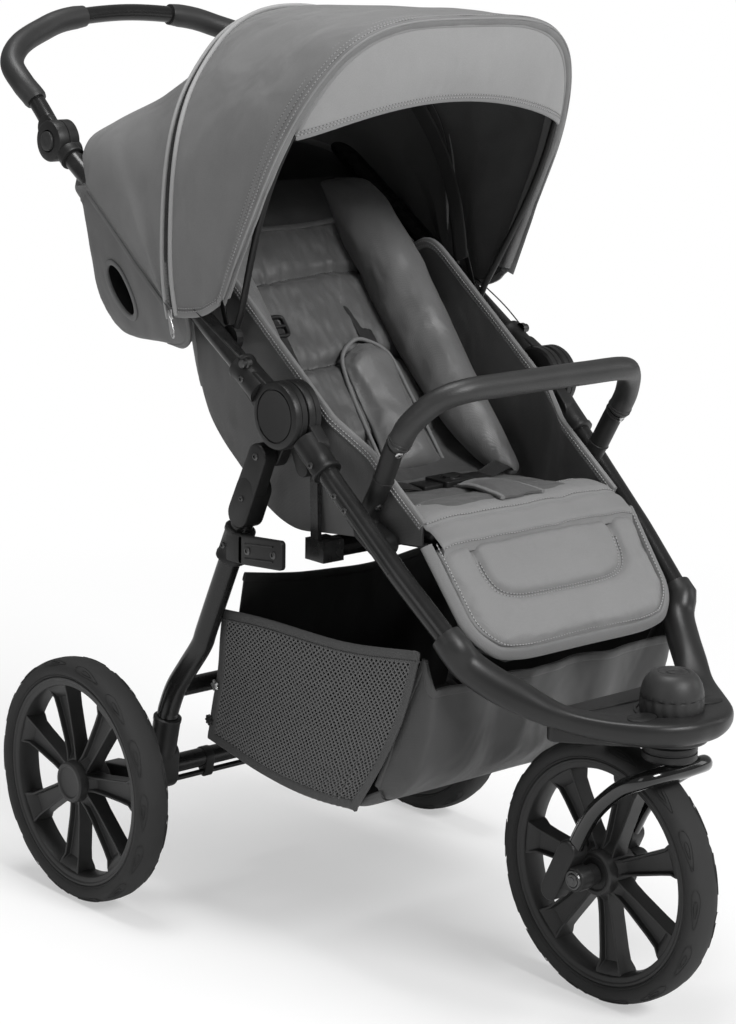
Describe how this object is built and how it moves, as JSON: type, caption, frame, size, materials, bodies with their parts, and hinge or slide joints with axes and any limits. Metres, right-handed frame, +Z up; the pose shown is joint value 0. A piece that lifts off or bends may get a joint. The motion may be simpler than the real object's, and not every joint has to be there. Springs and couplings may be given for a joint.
{
  "type": "compact stroller",
  "caption": "Folding three-wheel pushchair with a swivelling front wheel, padded reclining seat, folding canopy, bumper bar, tilting handle and mesh-sided basket.",
  "frame": {"origin": "middle of the floor area that the whole stroller covers, on the ground", "axes": "+Z up, +Y towards the handle at the rear, +X to the right seen from behind the handle"},
  "size_m": [0.594, 1.0609, 1.076],
  "materials": {
    "tyre": "matt, moulded sidewalls",
    "wheel": "fine texture",
    "gloss_tube": "gloss black",
    "tube": "satin black powder coat",
    "grip": "imitation leather, stitched",
    "steel": "plain",
    "seat_cloth": "woven, grey, bound edges",
    "footrest_cloth": "woven, light grey, piped",
    "canopy_cloth": "woven, grey, bound edges",
    "basket_cloth": "woven, near black",
    "net": "fine mesh with bound edges",
    "knob": "soft touch",
    "plastic": "fine texture"
  },
  "bodies": {
    "front_frame": {"front_tube_left": "tube", "front_tube_right": "tube", "nose_bridge": "plastic", "hub_front_left": "plastic", "hub_front_right": "plastic", "seat_carrier": "tube", "seat_board": "plastic", "seat_pad": "seat_cloth", "side_wall_left": "seat_cloth", "side_wall_right": "seat_cloth", "bumper_arm_left": "plastic", "bumper_arm_right": "plastic", "basket_base": "basket_cloth", "basket_net_left": "net", "basket_net_right": "net", "basket_front": "basket_cloth", "basket_rear": "basket_cloth", "harness_buckle": "plastic"},
    "buckle_release": {"buckle_button": "steel"},
    "bumper": {"bumper_bar": "grip"},
    "footrest": {"footrest_board": "plastic", "footrest_pad": "footrest_cloth"},
    "caster": {"swivel_stem": "plastic", "fork": "gloss_tube", "front_axle": "steel"},
    "swivel_lock": {"swivel_knob": "knob"},
    "front_wheel": {"front_rim": "wheel", "front_tyre": "tyre"},
    "legs": {"rear_leg_frame": "tube", "rear_beam": "tube", "axle_housing_left": "plastic", "axle_housing_right": "plastic", "leg_brace_left": "plastic", "leg_brace_right": "plastic"},
    "rear_wheel_left": {"rear_rim_left": "wheel", "rear_tyre_left": "tyre"},
    "rear_wheel_right": {"rear_rim_right": "wheel", "rear_tyre_right": "tyre"},
    "brake": {"brake_pedal": "plastic"},
    "handle_frame": {"handle_tube_left": "tube", "handle_tube_right": "tube", "hub_rear_left": "plastic", "hub_rear_right": "plastic", "handle_joint_left": "plastic", "handle_joint_right": "plastic", "back_cover": "seat_cloth", "canopy_rear_panel": "canopy_cloth", "canopy_clip_left": "plastic", "canopy_clip_right": "plastic"},
    "handle": {"handle_loop": "tube", "grip_left": "grip", "grip_right": "grip"},
    "handle_release_left": {"handle_button_left": "plastic"},
    "handle_release_right": {"handle_button_right": "plastic"},
    "canopy_mid": {"canopy_bow_mid": "plastic"},
    "canopy_front": {"canopy_bow_front": "plastic", "canopy_front_panel": "canopy_cloth"},
    "visor": {"visor": "canopy_cloth"},
    "backrest": {"back_board": "plastic", "back_pad": "seat_cloth"}
  },
  "joints": [
    {"name": "frame_fold", "type": "hinge", "parent": "front_frame", "child": "handle_frame", "pos_m": [0, -0.05692, 0.636], "axis": [1, 0, 0], "range_deg": [0, 150], "deforming": ["side_wall_left", "side_wall_right", "back_cover", "canopy_rear_panel", "canopy_front_panel", "basket_rear", "basket_net_left", "basket_net_right"]},
    {"name": "leg_fold", "type": "hinge", "parent": "front_frame", "child": "legs", "pos_m": [0, -0.02662, 0.5855], "axis": [1, 0, 0], "range_deg": [-46, 0]},
    {"name": "bumper_fold", "type": "hinge", "parent": "front_frame", "child": "bumper", "pos_m": [0, -0.22192, 0.6135], "axis": [1, 0, 0], "range_deg": [0, 76]},
    {"name": "canopy_mid_fold", "type": "hinge", "parent": "handle_frame", "child": "canopy_mid", "pos_m": [0, 0.05499, 0.7062], "axis": [1, 0, 0], "range_deg": [-29, 0]},
    {"name": "canopy_front_fold", "type": "hinge", "parent": "canopy_mid", "child": "canopy_front", "pos_m": [0, 0.05499, 0.7062], "axis": [1, 0, 0], "range_deg": [-39, 0]},
    {"name": "visor_flip", "type": "hinge", "parent": "canopy_front", "child": "visor", "pos_m": [0, -0.11949, 1.06392], "axis": [1, 0, 0], "range_deg": [-120, 0]},
    {"name": "backrest_recline", "type": "hinge", "parent": "handle_frame", "child": "backrest", "pos_m": [0, -0.00792, 0.49], "axis": [1, 0, 0], "range_deg": [-25, 0]},
    {"name": "footrest_tilt", "type": "hinge", "parent": "front_frame", "child": "footrest", "pos_m": [0, -0.23292, 0.508], "axis": [1, 0, 0], "range_deg": [-50, 0]},
    {"name": "handle_angle", "type": "hinge", "parent": "handle_frame", "child": "handle", "pos_m": [0, 0.37342, 0.90595], "axis": [1, 0, 0], "range_deg": [-50, 40]},
    {"name": "handle_button_left_press", "type": "slide", "parent": "handle", "child": "handle_release_left", "axis": [1, 0, 0], "range_m": [0, 0.0024], "stiffness_N_per_m": 400},
    {"name": "handle_button_right_press", "type": "slide", "parent": "handle", "child": "handle_release_right", "axis": [-1, 0, 0], "range_m": [0, 0.0024], "stiffness_N_per_m": 400},
    {"name": "buckle_button_press", "type": "slide", "parent": "front_frame", "child": "buckle_release", "axis": [0, 0, -1], "range_m": [0, 0.003], "stiffness_N_per_m": 300},
    {"name": "swivel_lock_turn", "type": "hinge", "parent": "front_frame", "child": "swivel_lock", "pos_m": [0, -0.46422, 0.353], "axis": [0, 0, 1], "range_deg": [0, 90]},
    {"name": "caster_swivel", "type": "hinge", "parent": "front_frame", "child": "caster", "pos_m": [0, -0.46422, 0.3465], "axis": [0, 0, 1], "continuous": true},
    {"name": "front_wheel_spin", "type": "hinge", "parent": "caster", "child": "front_wheel", "pos_m": [0, -0.38042, 0.15], "axis": [1, 0, 0], "continuous": true},
    {"name": "rear_wheel_left_spin", "type": "hinge", "parent": "legs", "child": "rear_wheel_left", "pos_m": [-0.274, 0.23508, 0.15], "axis": [1, 0, 0], "continuous": true},
    {"name": "rear_wheel_right_spin", "type": "hinge", "parent": "legs", "child": "rear_wheel_right", "pos_m": [0.274, 0.23508, 0.15], "axis": [1, 0, 0], "continuous": true},
    {"name": "brake_press", "type": "hinge", "parent": "legs", "child": "brake", "pos_m": [0, 0.19116, 0.168], "axis": [1, 0, 0], "range_deg": [-18, 0]}
  ],
  "couplings": [
    {"joint": "leg_fold", "follows": "frame_fold", "ratio": -0.3},
    {"joint": "bumper_fold", "follows": "frame_fold", "ratio": 0.5},
    {"joint": "canopy_mid_fold", "follows": "frame_fold", "ratio": -0.1867},
    {"joint": "canopy_front_fold", "follows": "frame_fold", "ratio": -0.2533}
  ]
}
